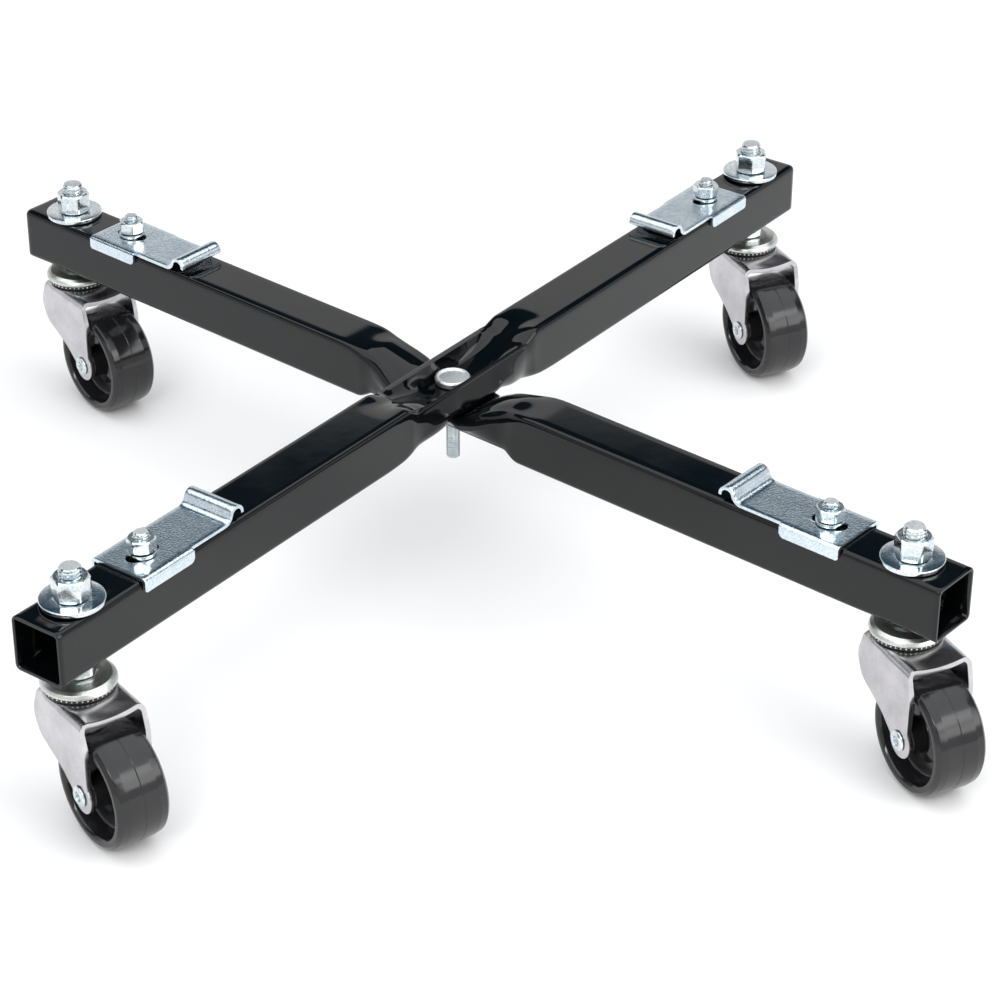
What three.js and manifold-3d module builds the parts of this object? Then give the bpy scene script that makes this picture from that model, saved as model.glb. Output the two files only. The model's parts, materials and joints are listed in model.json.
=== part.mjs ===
// A four-wheeled X-frame dolly. Two square tubes cross and nest at the middle, where both are
// pressed hollow and held by a carriage bolt; the nest leaves one tube a little above the other.
// A swivel caster hangs under each of the four ends, and a slotted sheet clip with a rolled hook
// sits on top of each arm.
// Millimetres, +Z up, floor at z = 0, front towards -Y.

import * as THREE from "three";
import { mergeVertices } from "three/addons/utils/BufferGeometryUtils.js";
import Module from "manifold-3d";

const wasm = await Module();
wasm.setup();

// ---------------------------------------------------------------- driving dimensions

const GAP = 0.3; // clearance kept between pieces that touch on the real dolly

const TUBE = 25.4; // outer side of the square tube
const WALL = 1.6;
const HALF = TUBE / 2;
const ARM = 266.7; // from the centre bolt to a tube's end
const UPPER_TOP = 99.8; // the two tubes' tops, above the floor
const LOWER_TOP = 95.2;
const CROSSING = 86.4; // degrees between the two tubes
const PIVOT = new THREE.Vector2(-2.5, 12.5); // centre bolt, measured from the footprint's middle

// The pressed middle of each tube, seen with its trough upwards. Depths are from the outer face.
const RIDGE_DROP = 4.2; // the ridges beside the trough
const TROUGH = 8.6; // half-width of the flat trough floor round the centre bolt
const BULGE = 2.5; // how far the squeezed side walls swell outwards
const UPPER_NEST = 16.9; // down to the face that meets the other tube
const LOWER_NEST = UPPER_TOP - LOWER_TOP + TUBE - UPPER_NEST - GAP;
const UPPER_PRESS = { nest: UPPER_NEST, floor: 10.7, slope: 4 };
const LOWER_PRESS = { nest: LOWER_NEST, floor: 9.4, slope: 5.8 };

const STEM_INSET = 21.4; // caster stem, from the tube's end
const CLIP_INSET = 62; // clip bolt, from the tube's end

const WHEEL_RADIUS = 25.4;
const WHEEL_HALF_WIDTH = 11.9;
const TRAIL = 22.5; // axle behind the stem
const FORK_TOP = 60.4;
const FORK_SHEET = 2.2;
const FORK_HALF_WIDTH = 15.2;
const FORK_FRONT = 28.4; // front edge of the fork's legs, ahead of the stem

const THREAD_SMALL = 3.15; // radius of the quarter-inch bolts
const THREAD_STEM = 4.75; // radius of the three-eighths stems
const FLATS_SMALL = 11.1; // across the flats of the quarter-inch nuts
const FLATS_STEM = 14.3; // across the flats of the stem nuts

const CLIP_SHEET = 1.5;

// Each arm points from the centre bolt to its end; its caster trails towards trailAngle.
const UPPER_ANGLE = 90 - CROSSING / 2;
const LOWER_ANGLE = 90 + CROSSING / 2;
const ARMS = [
  { name: "front_left", angle: UPPER_ANGLE + 180, top: UPPER_TOP, trailAngle: -60 },
  { name: "back_right", angle: UPPER_ANGLE, top: UPPER_TOP, trailAngle: -72 },
  { name: "back_left", angle: LOWER_ANGLE, top: LOWER_TOP, trailAngle: -58 },
  { name: "front_right", angle: LOWER_ANGLE + 180, top: LOWER_TOP, trailAngle: -71 },
];

// ---------------------------------------------------------------- materials

const blackPaint = { color: 0x0b0b0c, roughness: 0.25, metalness: 0.1 };
const zinc = { color: 0xb9c3c9, roughness: 0.35, metalness: 0.9 };
const brightZinc = { color: 0xcfd8dd, roughness: 0.28, metalness: 0.9 };
const darkSteel = { color: 0x55585a, roughness: 0.5, metalness: 0.8 };
const blackPlastic = { color: 0x121214, roughness: 0.3, metalness: 0.0 };

// ---------------------------------------------------------------- solids

const radians = THREE.MathUtils.degToRad;
const lerp = THREE.MathUtils.lerp;

function toSolid(geometry) {
  const bare = geometry.clone();
  bare.deleteAttribute("normal");
  bare.deleteAttribute("uv");
  const merged = mergeVertices(bare, 1e-4);
  return new wasm.Manifold(
    new wasm.Mesh({
      numProp: 3,
      vertProperties: new Float32Array(merged.attributes.position.array),
      triVerts: new Uint32Array(merged.index.array),
    }),
  );
}

function toGeometry(solid) {
  const mesh = solid.getMesh();
  const geometry = new THREE.BufferGeometry();
  geometry.setAttribute("position", new THREE.BufferAttribute(mesh.vertProperties, 3));
  geometry.setIndex(new THREE.BufferAttribute(mesh.triVerts, 1));
  geometry.computeVertexNormals();
  return geometry;
}

// A closed profile of [radius, height] turned about the vertical axis, counter-clockwise.
function revolve(profile, segments) {
  const points = profile.map(([radius, height]) => new THREE.Vector2(radius, height));
  return new THREE.LatheGeometry(points, segments).rotateX(Math.PI / 2);
}

// A ring of rectangular section.
function ring(inner, outer, bottom, top, segments) {
  const profile = [
    [inner, bottom],
    [outer, bottom],
    [outer, top],
    [inner, top],
    [inner, bottom],
  ];
  return revolve(profile, segments);
}

function rod(radius, bottom, top, segments = 16) {
  const cylinder = new THREE.CylinderGeometry(radius, radius, top - bottom, segments);
  return cylinder.rotateX(Math.PI / 2).translate(0, 0, (top + bottom) / 2);
}

// A threaded end: a rod whose top edge is chamfered.
function boltShank(radius, bottom, top) {
  const chamfer = 0.18 * radius;
  const profile = [
    [0, bottom],
    [radius, bottom],
    [radius, top - chamfer],
    [radius - chamfer, top],
    [0, top],
  ];
  return revolve(profile, 16);
}

function extrudeUp(shape, bottom, top, curveSegments = 8) {
  const geometry = new THREE.ExtrudeGeometry(shape, {
    depth: top - bottom,
    bevelEnabled: false,
    curveSegments,
  });
  return geometry.translate(0, 0, bottom);
}

// A shape drawn in (x, z), given a width along Y about the middle plane.
function extrudeAcross(shape, width, curveSegments) {
  return extrudeUp(shape, -width / 2, width / 2, curveSegments).rotateX(Math.PI / 2);
}

// A shape drawn in (y, z), given a length along X.
function extrudeAlong(shape, from, to, curveSegments) {
  const turn = new THREE.Matrix4().makeBasis(
    new THREE.Vector3(0, 1, 0),
    new THREE.Vector3(0, 0, 1),
    new THREE.Vector3(1, 0, 0),
  );
  return extrudeUp(shape, from, to, curveSegments).applyMatrix4(turn);
}

function hexagon(acrossFlats) {
  const corner = acrossFlats / 2 / Math.cos(Math.PI / 6);
  const points = [];
  for (let side = 0; side < 6; side++) {
    const angle = (side * Math.PI) / 3;
    points.push(new THREE.Vector2(corner * Math.cos(angle), corner * Math.sin(angle)));
  }
  return new THREE.Shape(points);
}

// A hexagon prism whose corners are rounded off at both faces, as turned nuts are.
function chamferedHex(acrossFlats, bottom, top) {
  const corner = acrossFlats / 2 / Math.cos(Math.PI / 6);
  const face = 0.48 * acrossFlats;
  const rise = (corner - face) * 0.6;
  const turned = [
    [0, bottom],
    [face, bottom],
    [corner, bottom + rise],
    [corner, top - rise],
    [face, top],
    [0, top],
  ];
  return toSolid(extrudeUp(hexagon(acrossFlats), bottom, top)).intersect(toSolid(revolve(turned, 12)));
}

function nut(acrossFlats, hole, bottom, top) {
  const bore = toSolid(rod(hole, bottom - 1, top + 1));
  return toGeometry(chamferedHex(acrossFlats, bottom, top).subtract(bore));
}

// ---------------------------------------------------------------- crossbars

// Heights below the tube's top, at distance x along the tube from its middle.
function pressedHeights(x, press) {
  const distance = Math.abs(x);
  const ease = (far, near) => 1 - THREE.MathUtils.smoothstep(distance, near, far);
  const ridge = -RIDGE_DROP * ease(52, 38);
  const up = THREE.MathUtils.clamp((distance - 14) / 26, 0, 1);
  const floor = ridge - (press.floor - RIDGE_DROP) * (1 - up * up);
  const slope = press.slope * ease(52, 24);
  const notch = (TUBE - press.nest - press.slope) * ease(24, 16.5);
  return { ridge, floor, under: -TUBE + slope + notch, bulge: BULGE * ease(48, 24) };
}

// The tube's outline at x as points in (y, z), inset by a wall to give its inside.
function tubeOutline(x, press, inset) {
  const { ridge, floor, under, bulge } = pressedHeights(x, press);
  const half = HALF - inset;
  const corner = 2.8 - inset / 2;
  const depth = ridge - floor;
  const pressed = depth / (press.floor - RIDGE_DROP);
  const crest = ridge - inset;
  const bottom = under + inset;
  const lip = lerp(corner, corner / 2, pressed);
  const right = [
    [lerp(half - corner, TROUGH - inset, pressed), crest - depth],
    [lerp(half - 0.6 * corner, half - 1.9, pressed), crest - 0.12 * lip - 0.1 * depth],
    [half - 0.2 * corner, crest - 0.35 * lip],
    [half, crest - lip],
    [half + bulge, (crest - lip + bottom + corner) / 2],
    [half, bottom + corner],
    [half - 0.29 * corner, bottom + 0.29 * corner],
    [half - corner, bottom],
  ];
  const left = right.map(([y, z]) => [-y, z]).reverse();
  return [[0, crest - depth], ...right, [0, bottom], ...left];
}

// A solid skinned over the tube outlines at the given stations, with flat ends.
function skin(stations, press, inset) {
  const outlines = stations.map((x) => tubeOutline(x, press, inset).map(([y, z]) => [x, y, z]));
  const count = outlines[0].length;
  const last = stations.length - 1;
  const index = [];
  for (let ringNumber = 0; ringNumber < last; ringNumber++) {
    for (let side = 0; side < count; side++) {
      const next = (side + 1) % count;
      const a = ringNumber * count + side;
      const b = ringNumber * count + next;
      index.push(a, b + count, b, a, a + count, b + count);
    }
  }
  for (const [ringNumber, facesForward] of [[0, false], [last, true]]) {
    const base = ringNumber * count;
    const flat = outlines[ringNumber].map(([, y, z]) => new THREE.Vector2(y, z));
    for (const [a, b, c] of THREE.ShapeUtils.triangulateShape(flat, [])) {
      const forward = THREE.ShapeUtils.area([flat[a], flat[b], flat[c]]) > 0;
      const turned = forward !== facesForward;
      index.push(base + a, base + (turned ? c : b), base + (turned ? b : c));
    }
  }
  const geometry = new THREE.BufferGeometry();
  geometry.setAttribute("position", new THREE.Float32BufferAttribute(outlines.flat(2), 3));
  geometry.setIndex(index);
  return geometry;
}

// One crossbar, lying along X with its top at z = 0 and its notch underneath.
function crossbar(centreHole, press) {
  const bends = [14, 16.5, 19, 21.5, 24, 28, 33, 38, 40, 44, 48, 52];
  const outerStations = [...bends.map((x) => -x).reverse(), ...bends];
  let bar = toSolid(skin([-ARM, ...outerStations, ARM], press, 0));
  const hollowBends = [28, 33, 38, 40, 44, 48, 52, ARM + 1];
  bar = bar.subtract(toSolid(skin(hollowBends, press, WALL)));
  bar = bar.subtract(toSolid(skin(hollowBends.map((x) => -x).reverse(), press, WALL)));
  for (const side of [-1, 1]) {
    const stemHole = rod(THREAD_STEM + GAP, -TUBE - 1, 1).translate(side * (ARM - STEM_INSET), 0, 0);
    const clipHole = rod(THREAD_SMALL + GAP, -TUBE - 1, 1).translate(side * (ARM - CLIP_INSET), 0, 0);
    bar = bar.subtract(toSolid(stemHole)).subtract(toSolid(clipHole));
  }
  return toGeometry(bar.subtract(toSolid(centreHole)));
}

const NECK = 2 * THREAD_SMALL; // side of the carriage bolt's square neck
const neckHole = new THREE.BoxGeometry(NECK + 2 * GAP, NECK + 2 * GAP, 2 * TUBE);
const roundHole = rod(THREAD_SMALL + GAP, -TUBE, TUBE);

// ---------------------------------------------------------------- centre bolt

const HEAD_SEAT = UPPER_TOP - UPPER_PRESS.floor; // trough floor of the upper tube
const NUT_SEAT = LOWER_TOP - TUBE + LOWER_PRESS.floor; // trough floor of the lower tube, facing down
const CENTRE_BOLT_LENGTH = 38.1;

function carriageBolt() {
  const headRadius = 8.05;
  const headRise = 3.3;
  const seat = HEAD_SEAT + GAP;
  const dome = [[0, seat], [headRadius, seat], [headRadius, seat + 0.9]];
  const steps = 4;
  for (let step = 1; step <= steps; step++) {
    const angle = (step / steps) * (Math.PI / 2);
    dome.push([headRadius * Math.cos(angle), seat + 0.9 + (headRise - 0.9) * Math.sin(angle)]);
  }
  dome[dome.length - 1][0] = 0;
  const neckDepth = 3;
  const neck = new THREE.BoxGeometry(NECK, NECK, neckDepth + 1);
  neck.translate(0, 0, seat - neckDepth + (neckDepth + 1) / 2);
  const tip = seat - CENTRE_BOLT_LENGTH;
  const shank = boltShank(THREAD_SMALL, -seat - 1, -tip).rotateX(Math.PI);
  return toGeometry(toSolid(revolve(dome, 24)).add(toSolid(neck)).add(toSolid(shank)));
}

// ---------------------------------------------------------------- casters

const COLLAR_BOTTOM = 67;
const RACE_TOP = COLLAR_BOTTOM - GAP;
const KINGPIN = 4.7;
const FORK_UNDER = FORK_TOP - FORK_SHEET;

// The threaded stem, the hexagon collar under the tube and the kingpin riveted under the fork.
function casterStem(tubeTop) {
  const rivetDepth = 2;
  const thread = toSolid(boltShank(THREAD_STEM, COLLAR_BOTTOM, tubeTop + 16.8));
  const collar = chamferedHex(FLATS_STEM, COLLAR_BOTTOM, tubeTop - TUBE - GAP);
  const kingpin = toSolid(rod(KINGPIN, FORK_UNDER - GAP - rivetDepth / 2, COLLAR_BOTTOM + 1));
  const rivetHead = toSolid(rod(7.2, FORK_UNDER - GAP - rivetDepth, FORK_UNDER - GAP));
  return toGeometry(thread.add(collar).add(kingpin).add(rivetHead));
}

// The domed upper race, a pressed cup over the balls.
function upperRace() {
  const hole = KINGPIN + GAP;
  const rim = FORK_TOP + 2.1;
  const profile = [
    [hole, RACE_TOP - 1.5],
    [8.2, RACE_TOP - 1.6],
    [9.8, rim + 1.7],
    [13, rim + 1.7],
    [14.4, rim],
    [15.8, rim],
    [15.8, rim + 1.2],
    [14.6, rim + 2.8],
    [11.6, RACE_TOP - 0.4],
    [8.8, RACE_TOP],
    [hole, RACE_TOP],
    [hole, RACE_TOP - 1.5],
  ];
  return revolve(profile, 20);
}

// The ring of balls between the two races, held by a thin cage.
function ballRing() {
  const ballRadius = 1.75;
  const pitchRadius = 11.5;
  const ballCount = 10;
  const height = FORK_TOP + GAP + ballRadius;
  let solid = toSolid(ring(pitchRadius - 0.9, pitchRadius + 0.9, height - 0.5, height + 0.5, ballCount));
  for (let ball = 0; ball < ballCount; ball++) {
    const angle = (ball / ballCount) * 2 * Math.PI;
    const sphere = new THREE.IcosahedronGeometry(ballRadius, 0);
    sphere.translate(pitchRadius * Math.cos(angle), pitchRadius * Math.sin(angle), height);
    solid = solid.add(toSolid(sphere));
  }
  return toGeometry(solid);
}

// The fork's section across the axle: an upturned U of folded sheet.
function forkSection() {
  const outer = FORK_HALF_WIDTH;
  const inner = outer - FORK_SHEET;
  const fold = 3.2;
  const foot = WHEEL_RADIUS - 10;
  const section = new THREE.Shape();
  section.moveTo(outer, foot);
  section.lineTo(outer, FORK_TOP - fold);
  section.absarc(outer - fold, FORK_TOP - fold, fold, 0, Math.PI / 2, false);
  section.lineTo(-outer + fold, FORK_TOP);
  section.absarc(-outer + fold, FORK_TOP - fold, fold, Math.PI / 2, Math.PI, false);
  section.lineTo(-outer, foot);
  section.lineTo(-inner, foot);
  section.lineTo(-inner, FORK_UNDER - 1);
  section.lineTo(-inner + 1, FORK_UNDER);
  section.lineTo(inner - 1, FORK_UNDER);
  section.lineTo(inner, FORK_UNDER - 1);
  section.lineTo(inner, foot);
  section.closePath();
  return section;
}

// The fork's outline from the side: wide shoulders that taper to a round tip at the axle.
function forkProfile() {
  const tip = 7.2;
  const tipAt = new THREE.Vector2(TRAIL + 1.2, WHEEL_RADIUS + 0.2);
  const tipStart = new THREE.Vector2(tip, 0).rotateAround(new THREE.Vector2(), radians(215));
  const profile = new THREE.Shape();
  profile.moveTo(-5, FORK_TOP + 1);
  profile.splineThru([
    new THREE.Vector2(-10.4, 56),
    new THREE.Vector2(-11.8, 50),
    new THREE.Vector2(-6.5, 39.5),
    new THREE.Vector2(5, 33),
    new THREE.Vector2(13.5, 27.5),
    tipStart.add(tipAt),
  ]);
  profile.absarc(tipAt.x, tipAt.y, tip, radians(215), radians(368), false);
  profile.lineTo(FORK_FRONT, WHEEL_RADIUS + 10);
  profile.lineTo(FORK_FRONT, FORK_TOP - 6);
  profile.lineTo(FORK_FRONT - 2.6, FORK_TOP - 1);
  profile.lineTo(FORK_FRONT - 2.6, FORK_TOP + 1);
  profile.closePath();
  return profile;
}

const AXLE = 3.3;

function fork() {
  const legs = toSolid(extrudeAlong(forkSection(), -20, 34, 3));
  const sides = toSolid(extrudeAcross(forkProfile(), 4 * FORK_HALF_WIDTH, 3));
  const crown = toSolid(rod(16.2, FORK_UNDER, FORK_TOP, 24));
  const kingpinHole = toSolid(rod(KINGPIN + GAP, FORK_UNDER - 2, FORK_TOP + 2));
  const axleHole = rod(AXLE + GAP, -20, 20).rotateX(Math.PI / 2).translate(TRAIL, 0, WHEEL_RADIUS);
  return toGeometry(legs.intersect(sides).add(crown).subtract(kingpinHole).subtract(toSolid(axleHole)));
}

// The tubular rivet that is the wheel's axle, with a rolled head at each end.
function axleRivet() {
  const reach = FORK_HALF_WIDTH + GAP;
  const head = 4.6;
  const thick = 1.1;
  const hollow = 2;
  const profile = [
    [hollow, -reach - thick],
    [head - 0.6, -reach - thick],
    [head, -reach],
    [AXLE, -reach],
    [AXLE, reach],
    [head, reach],
    [head - 0.6, reach + thick],
    [hollow, reach + thick],
    [hollow, -reach - thick],
  ];
  return revolve(profile, 16).rotateX(Math.PI / 2);
}

// The moulded wheel: a rounded tread, a thin web and a hub that fills the fork.
function wheel() {
  const bore = AXLE + GAP;
  const rim = 0.82 * WHEEL_RADIUS;
  const hub = 7.4;
  const hubHalf = FORK_HALF_WIDTH - FORK_SHEET - GAP;
  const web = 3;
  const side = WHEEL_HALF_WIDTH;
  const edge = 1.9;
  const half = [
    [bore, hubHalf],
    [hub, hubHalf],
    [hub + 0.8, web],
    [rim - 1, web],
    [rim, side],
    [WHEEL_RADIUS - edge, side],
    [WHEEL_RADIUS - 0.3 * edge, side - 0.3 * edge],
    [WHEEL_RADIUS, side - 1.6 * edge],
  ];
  const lower = half.map(([radius, height]) => [radius, -height]);
  const profile = [...lower, ...half.reverse(), lower[0]];
  return revolve(profile, 28).rotateX(Math.PI / 2);
}

// ---------------------------------------------------------------- clips

const SLOT_HALF_LENGTH = 8.35;
const SLOT_HALF_WIDTH = THREAD_SMALL + 0.4;
const CLIP_OUTER_END = 14.3; // from the bolt to the clip's outer edge
const FLANGE_LENGTH = 29.5;
const CLIP_BASE = GAP + CLIP_SHEET / 2; // middle of the sheet above the tube

// The middle line of the sheet, from its outer edge inwards and over the rolled hook.
function clipLine() {
  const rise = 4;
  const roll = 3;
  const bend = -36;
  const riseEnd = radians(-165);
  const line = new THREE.Path();
  line.moveTo(CLIP_OUTER_END, CLIP_BASE);
  line.lineTo(bend, CLIP_BASE);
  line.absarc(bend, CLIP_BASE + rise, rise, radians(-90), riseEnd, true);
  const rollX = bend + (rise + roll) * Math.cos(riseEnd);
  const rollZ = CLIP_BASE + rise + (rise + roll) * Math.sin(riseEnd);
  line.absarc(rollX, rollZ, roll, riseEnd + Math.PI, radians(190), false);
  return line.getPoints(7);
}

// A strip of sheet of even thickness along a line of points.
function strip(points, thickness) {
  const side = (offset) =>
    points.map((point, number) => {
      const before = points[Math.max(number - 1, 0)];
      const after = points[Math.min(number + 1, points.length - 1)];
      const along = after.clone().sub(before).normalize();
      return new THREE.Vector2(point.x - along.y * offset, point.y + along.x * offset);
    });
  return new THREE.Shape([...side(thickness / 2), ...side(-thickness / 2).reverse()]);
}

// The two flanges that straddle the tube, joined over its top.
function flangeSection() {
  const inner = HALF + GAP;
  const outer = inner + CLIP_SHEET;
  const top = GAP + CLIP_SHEET;
  const foot = -5.2;
  return new THREE.Shape([
    new THREE.Vector2(outer, foot),
    new THREE.Vector2(outer, top - 1.3),
    new THREE.Vector2(outer - 1.3, top),
    new THREE.Vector2(-outer + 1.3, top),
    new THREE.Vector2(-outer, top - 1.3),
    new THREE.Vector2(-outer, foot),
    new THREE.Vector2(-inner, foot),
    new THREE.Vector2(-inner, GAP),
    new THREE.Vector2(inner, GAP),
    new THREE.Vector2(inner, foot),
  ]);
}

function clip() {
  const straight = SLOT_HALF_LENGTH - SLOT_HALF_WIDTH;
  const slot = new THREE.Shape();
  slot.absarc(straight, 0, SLOT_HALF_WIDTH, radians(-90), radians(90), false);
  slot.absarc(-straight, 0, SLOT_HALF_WIDTH, radians(90), radians(270), false);
  const plate = toSolid(extrudeAcross(strip(clipLine(), CLIP_SHEET), TUBE));
  const flanges = toSolid(extrudeAlong(flangeSection(), CLIP_OUTER_END - FLANGE_LENGTH, CLIP_OUTER_END));
  return toGeometry(plate.add(flanges).subtract(toSolid(extrudeUp(slot, -2, 4))));
}

const CLIP_TOP = GAP + CLIP_SHEET;
const LOCK_WASHER = 1.6;

function clipBolt() {
  const headTop = -TUBE - GAP;
  const head = chamferedHex(FLATS_SMALL, headTop - 4.2, headTop);
  return toGeometry(head.add(toSolid(boltShank(THREAD_SMALL, headTop - 1, headTop + 38.1))));
}

// A split ring, drawn as a C.
function lockWasher() {
  const split = radians(5);
  const shape = new THREE.Shape();
  shape.absarc(0, 0, 6.1, split, 2 * Math.PI - split, false);
  shape.absarc(0, 0, THREAD_SMALL + GAP, 2 * Math.PI - split, split, true);
  shape.closePath();
  const bottom = CLIP_TOP + GAP;
  return extrudeUp(shape, bottom, bottom + LOCK_WASHER);
}

// ---------------------------------------------------------------- assembly

const dolly = new THREE.Group();

function place(parent, name, geometry, look) {
  const mesh = new THREE.Mesh(geometry, new THREE.MeshStandardMaterial(look));
  mesh.name = name;
  parent.add(mesh);
}

function turnedGroup(x, y, z, angle) {
  const group = new THREE.Group();
  group.position.set(x, y, z);
  group.rotation.z = radians(angle);
  dolly.add(group);
  return group;
}

const upperBar = turnedGroup(PIVOT.x, PIVOT.y, UPPER_TOP, UPPER_ANGLE);
place(upperBar, "upper_crossbar", crossbar(neckHole, UPPER_PRESS), blackPaint);

const lowerBar = turnedGroup(PIVOT.x, PIVOT.y, LOWER_TOP - TUBE, LOWER_ANGLE);
place(lowerBar, "lower_crossbar", crossbar(roundHole, LOWER_PRESS).rotateX(Math.PI), blackPaint);

const CENTRE_WASHER_TOP = NUT_SEAT - GAP;
const CENTRE_WASHER_BOTTOM = CENTRE_WASHER_TOP - 1.5;
const CENTRE_NUT_TOP = CENTRE_WASHER_BOTTOM - GAP;
const centreWasher = ring(THREAD_SMALL + GAP, 7.8, CENTRE_WASHER_BOTTOM, CENTRE_WASHER_TOP, 20);
const centreNut = nut(FLATS_SMALL, THREAD_SMALL + GAP, CENTRE_NUT_TOP - 5.6, CENTRE_NUT_TOP);
const centre = turnedGroup(PIVOT.x, PIVOT.y, 0, UPPER_ANGLE);
place(centre, "centre_bolt", carriageBolt(), brightZinc);
place(centre, "centre_washer", centreWasher, zinc);
place(centre, "centre_nut", centreNut, zinc);

const STEM_WASHER = 2;
const STEM_NUT = 9.6;
const CLIP_NUT_BOTTOM = CLIP_TOP + LOCK_WASHER + 2 * GAP;

for (const { name, angle, top, trailAngle } of ARMS) {
  const washerSeat = top + GAP;
  const washerTop = washerSeat + STEM_WASHER;
  const stemNutBottom = washerTop + GAP;
  const direction = new THREE.Vector2(1, 0).rotateAround(new THREE.Vector2(), radians(angle));
  const stemAt = direction.clone().multiplyScalar(ARM - STEM_INSET).add(PIVOT);
  const clipAt = direction.clone().multiplyScalar(ARM - CLIP_INSET).add(PIVOT);

  const fixed = turnedGroup(stemAt.x, stemAt.y, 0, angle);
  const stemNut = nut(FLATS_STEM, THREAD_STEM + GAP, stemNutBottom, stemNutBottom + STEM_NUT);
  place(fixed, `caster_stem_${name}`, casterStem(top), zinc);
  place(fixed, `upper_race_${name}`, upperRace(), zinc);
  place(fixed, `stem_washer_${name}`, ring(THREAD_STEM + GAP, 13.45, washerSeat, washerTop, 20), zinc);
  place(fixed, `stem_nut_${name}`, stemNut, brightZinc);

  const swivel = turnedGroup(stemAt.x, stemAt.y, 0, trailAngle);
  place(swivel, `ball_ring_${name}`, ballRing(), darkSteel);
  place(swivel, `fork_${name}`, fork(), zinc);

  const axleAt = new THREE.Vector2(TRAIL, 0).rotateAround(new THREE.Vector2(), radians(trailAngle));
  const axle = turnedGroup(stemAt.x + axleAt.x, stemAt.y + axleAt.y, WHEEL_RADIUS, trailAngle);
  place(axle, `axle_rivet_${name}`, axleRivet(), zinc);
  place(axle, `wheel_${name}`, wheel(), blackPlastic);

  const clipNut = nut(FLATS_SMALL, THREAD_SMALL + GAP, CLIP_NUT_BOTTOM, CLIP_NUT_BOTTOM + 5.6);
  const seat = turnedGroup(clipAt.x, clipAt.y, top, angle);
  place(seat, `rim_clip_${name}`, clip(), brightZinc);
  place(seat, `clip_bolt_${name}`, clipBolt(), zinc);
  place(seat, `lock_washer_${name}`, lockWasher(), zinc);
  place(seat, `clip_nut_${name}`, clipNut, brightZinc);
}

export default dolly;
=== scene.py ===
# The looks of a four-wheeled X-frame dolly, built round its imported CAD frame.
# Shapes are drawn in millimetres in each piece's own axes and then placed in metres.

import json
import math

import bmesh
import bpy
from mathutils import Matrix, Vector


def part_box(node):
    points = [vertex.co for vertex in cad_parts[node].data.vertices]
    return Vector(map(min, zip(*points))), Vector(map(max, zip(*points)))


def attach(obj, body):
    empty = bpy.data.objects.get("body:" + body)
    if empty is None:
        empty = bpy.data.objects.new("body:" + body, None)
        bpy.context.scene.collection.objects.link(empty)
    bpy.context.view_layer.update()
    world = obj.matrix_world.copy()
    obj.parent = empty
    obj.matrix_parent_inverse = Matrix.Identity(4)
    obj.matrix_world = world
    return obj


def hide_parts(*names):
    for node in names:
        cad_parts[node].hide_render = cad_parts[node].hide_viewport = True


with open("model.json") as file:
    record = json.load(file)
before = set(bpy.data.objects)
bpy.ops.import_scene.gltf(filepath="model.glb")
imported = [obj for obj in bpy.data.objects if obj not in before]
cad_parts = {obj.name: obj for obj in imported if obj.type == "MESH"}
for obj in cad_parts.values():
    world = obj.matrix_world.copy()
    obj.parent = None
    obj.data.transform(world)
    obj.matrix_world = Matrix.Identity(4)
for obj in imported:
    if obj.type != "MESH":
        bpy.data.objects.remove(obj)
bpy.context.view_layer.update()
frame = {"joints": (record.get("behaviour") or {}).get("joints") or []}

MM = 0.001
ARM_NAMES = ("front_left", "back_right", "back_left", "front_right")
UPPER_ARMS = ("front_left", "back_right")
JOINTS = {joint["name"]: joint for joint in frame["joints"]}

# ---------------------------------------------------------------- dimensions, in millimetres

TUBE = 25.4
HALF = TUBE / 2
WALL = 1.6
ARM = 266.7
TUBE_CORNER = 2.6

# The air between pieces that touch in real life.
GAP = 0.3

# Turned profiles stop this far from their axis.
NEAR_AXIS = 0.01

# The fasteners: radii of threads, washers and heads, and hexagons' widths across their flats.
THREAD_SMALL = 3.15
THREAD_STEM = 4.75
PITCH_SMALL = 1.27
PITCH_STEM = 1.59
FLATS_SMALL = 11.1
FLATS_STEM = 14.3
HEAD_RADIUS = 8.05
HEAD_HEIGHT = 3.3
CENTRE_THREAD = 24
CENTRE_WASHER = 7.8
STEM_WASHER = 13.45
STEM_WASHER_HOLE = 5.05
LOCK_WASHER = 6.1
LOCK_WASHER_HOLE = 3.45
LOCK_WASHER_THICK = 1.6
CLIP_BOLT_HEAD = 4.2
CLIP_BOLT_THREAD = 10
END_DOME = 0.12
NUT_CLEARANCE = 0.05

# The casters. FORK_TOP and TIP_Z are heights above the floor, TRAIL and TIP_X distances from the swivel.
WHEEL_RADIUS = 25.4
WHEEL_HALF_WIDTH = 11.9
TRAIL = 22.5
FORK_TOP = 60.4
FORK_SHEET = 2.2
FORK_HALF_WIDTH = 15.2
FORK_FRONT = 28.4
FORK_FOLD = 4.2
CROWN_RADIUS = 16.2
TIP = 7.2
TIP_X = TRAIL + 1.2
TIP_Z = WHEEL_RADIUS + 0.2
AXLE = 3.3
BALL = 0.55
BALL_CIRCLE = 14.62
BALL_COUNT = 44
RACE_RADIUS = 15.8
RACE_HOLE = 5.0
RACE_LIFT = 0.3
RETAINER_HOLE = 9.6
RETAINER_RADIUS = 15.0
KINGPIN_RADIUS = 4.6
KINGPIN_HEAD = 7.2

# The dish and the rings pressed into the fork's crown, and how its rear corners are pulled in.
CROWN_DIP = 1.5
CROWN_DIP_HALF = 11.5
RING_RISE = 0.3
GROOVE = 0.4
GROOVE_AT = 12
CORNER_IN = 1.6
CORNER_DOWN = 0.6

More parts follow.
